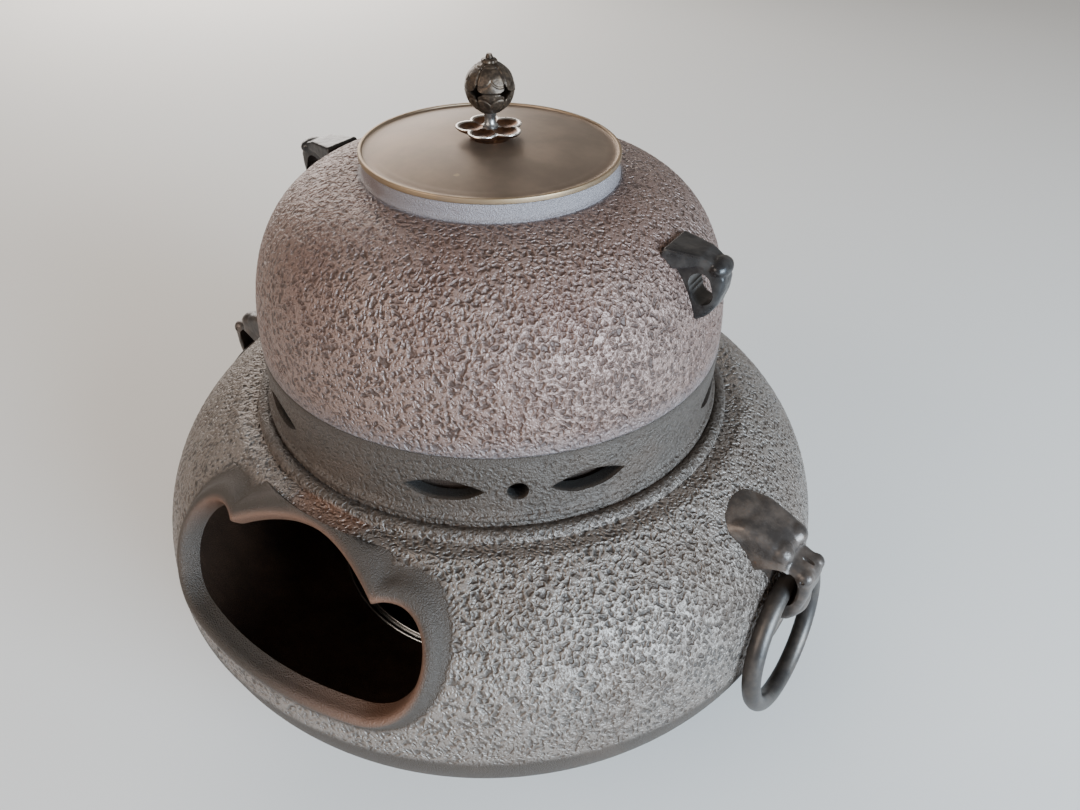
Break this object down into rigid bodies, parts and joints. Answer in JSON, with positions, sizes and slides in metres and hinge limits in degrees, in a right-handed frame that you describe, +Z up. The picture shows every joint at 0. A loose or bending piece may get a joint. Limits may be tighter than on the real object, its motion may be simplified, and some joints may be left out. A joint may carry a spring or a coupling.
{
  "type": "cast iron kettle on brazier",
  "caption": "Round cast iron tea kettle with bronze lid and ball knob, seated flush in a cast iron brazier with a fire window and animal-head ring lugs.",
  "frame": {"origin": "on the vertical axis of brazier and kettle, in the plane of the feet that it stands on", "axes": "+Z up; the fire window faces -Y; the lugs and rings stand out near +X and -X, 4 degrees towards the window"},
  "size_m": [0.3904, 0.3662, 0.3453],
  "materials": {
    "brazier_iron": "wrinkled cast skin, waxed dark grey-brown",
    "kettle_iron": "wrinkled cast skin, purplish brown",
    "lug_iron": "smooth waxed casting, near black with rust brown",
    "ring_iron": "forged round bar, dark semi-gloss",
    "lid_bronze": "satin dark bronze patina",
    "knob_bronze": "antique brown bronze with worn edges",
    "pan_steel": "bright rolled sheet"
  },
  "bodies": {
    "brazier": {"brazier_body": "brazier_iron", "foot_front_left": "brazier_iron", "foot_front_right": "brazier_iron", "foot_rear": "brazier_iron", "brazier_lug_left": "lug_iron", "brazier_lug_right": "lug_iron", "lug_screws": "lug_iron", "lug_washers": "lug_iron"},
    "ring_left": {"ring_left": "ring_iron"},
    "ring_right": {"ring_right": "ring_iron"},
    "fire_pan": {"fire_pan": "pan_steel"},
    "kettle": {"kettle_body": "kettle_iron", "kettle_lug_left": "lug_iron", "kettle_lug_right": "lug_iron"},
    "lid": {"lid_plate": "lid_bronze", "lid_locating_ring": "lid_bronze", "knob_seat": "knob_bronze", "knob_stem": "knob_bronze", "knob_lower_shell": "knob_bronze", "knob_upper_shell": "knob_bronze", "knob_top_washer": "knob_bronze", "knob_pin": "knob_bronze", "knob_under_washer": "knob_bronze"}
  },
  "joints": [
    {"name": "kettle_lift", "type": "slide", "parent": "brazier", "child": "kettle", "axis": [0, 0, 1], "range_m": [0, 0.12]},
    {"name": "lid_lift", "type": "slide", "parent": "kettle", "child": "lid", "axis": [0, 0, 1], "range_m": [0, 0.05]},
    {"name": "pan_lift", "type": "slide", "parent": "brazier", "child": "fire_pan", "axis": [0, 0, 1], "range_m": [0, 0.05]},
    {"name": "ring_right_swing", "type": "hinge", "parent": "brazier", "child": "ring_right", "pos_m": [0.17999, -0.01259, 0.1365], "axis": [-0.0698, -0.9976, 0], "range_deg": [0, 100]},
    {"name": "ring_left_swing", "type": "hinge", "parent": "brazier", "child": "ring_left", "pos_m": [-0.17999, -0.01259, 0.1365], "axis": [-0.0698, 0.9976, 0], "range_deg": [0, 100]}
  ]
}
